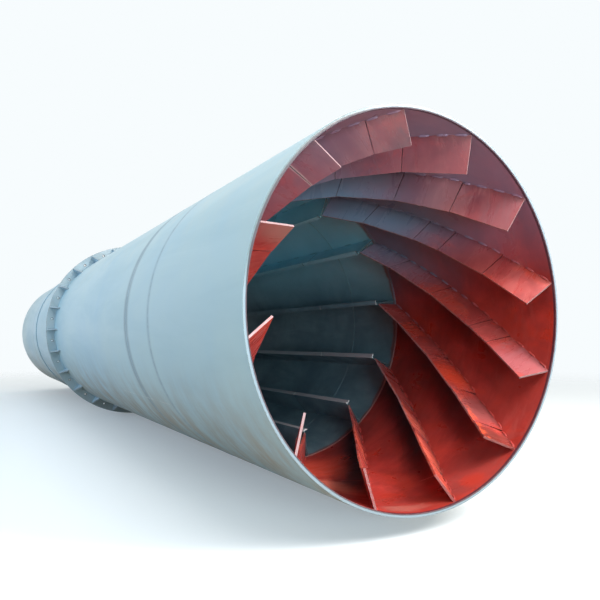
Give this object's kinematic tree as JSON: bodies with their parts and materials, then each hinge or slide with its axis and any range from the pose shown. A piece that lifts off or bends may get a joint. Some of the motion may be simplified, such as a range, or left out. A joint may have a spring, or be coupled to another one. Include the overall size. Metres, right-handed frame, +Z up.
{
  "type": "rotary dryer drum",
  "caption": "Steel drum section of a rotary sawdust dryer: open-ended rolled shell with helical guide flights, straight lifting flights and a gusseted gear flange.",
  "frame": {"origin": "on the floor under the middle of the drum's length, under its axis", "axes": "the drum's axis lies level along Y, with the open inlet end that holds the helical flights towards -Y; +Z is up"},
  "size_m": [2.4238, 11, 2.4238],
  "materials": {
    "shell_paint": "semi-gloss pale blue-grey paint outside",
    "red_oxide": "matt red oxide primer",
    "dark_steel": "dark mill steel"
  },
  "bodies": {
    "root": {"shell_course_1": "shell_paint", "shell_course_2": "shell_paint", "shell_course_3": "shell_paint", "shell_course_4": "shell_paint", "tyre_course": "shell_paint", "gear_flange": "shell_paint", "gear_flange_gussets": "shell_paint", "spiral_flight_01": "red_oxide", "spiral_flight_02": "red_oxide", "spiral_flight_03": "red_oxide", "spiral_flight_04": "red_oxide", "spiral_flight_05": "red_oxide", "spiral_flight_06": "red_oxide", "spiral_flight_07": "red_oxide", "spiral_flight_08": "red_oxide", "spiral_flight_09": "red_oxide", "spiral_flight_10": "red_oxide", "spiral_flight_11": "red_oxide", "spiral_flight_12": "red_oxide", "lifting_flight_01": "dark_steel", "lifting_flight_02": "dark_steel", "lifting_flight_03": "dark_steel", "lifting_flight_04": "dark_steel", "lifting_flight_05": "dark_steel", "lifting_flight_06": "dark_steel", "lifting_flight_07": "dark_steel", "lifting_flight_08": "dark_steel", "lifting_flight_09": "dark_steel", "lifting_flight_10": "dark_steel", "lifting_flight_11": "dark_steel", "lifting_flight_12": "dark_steel"}
  },
  "joints": []
}
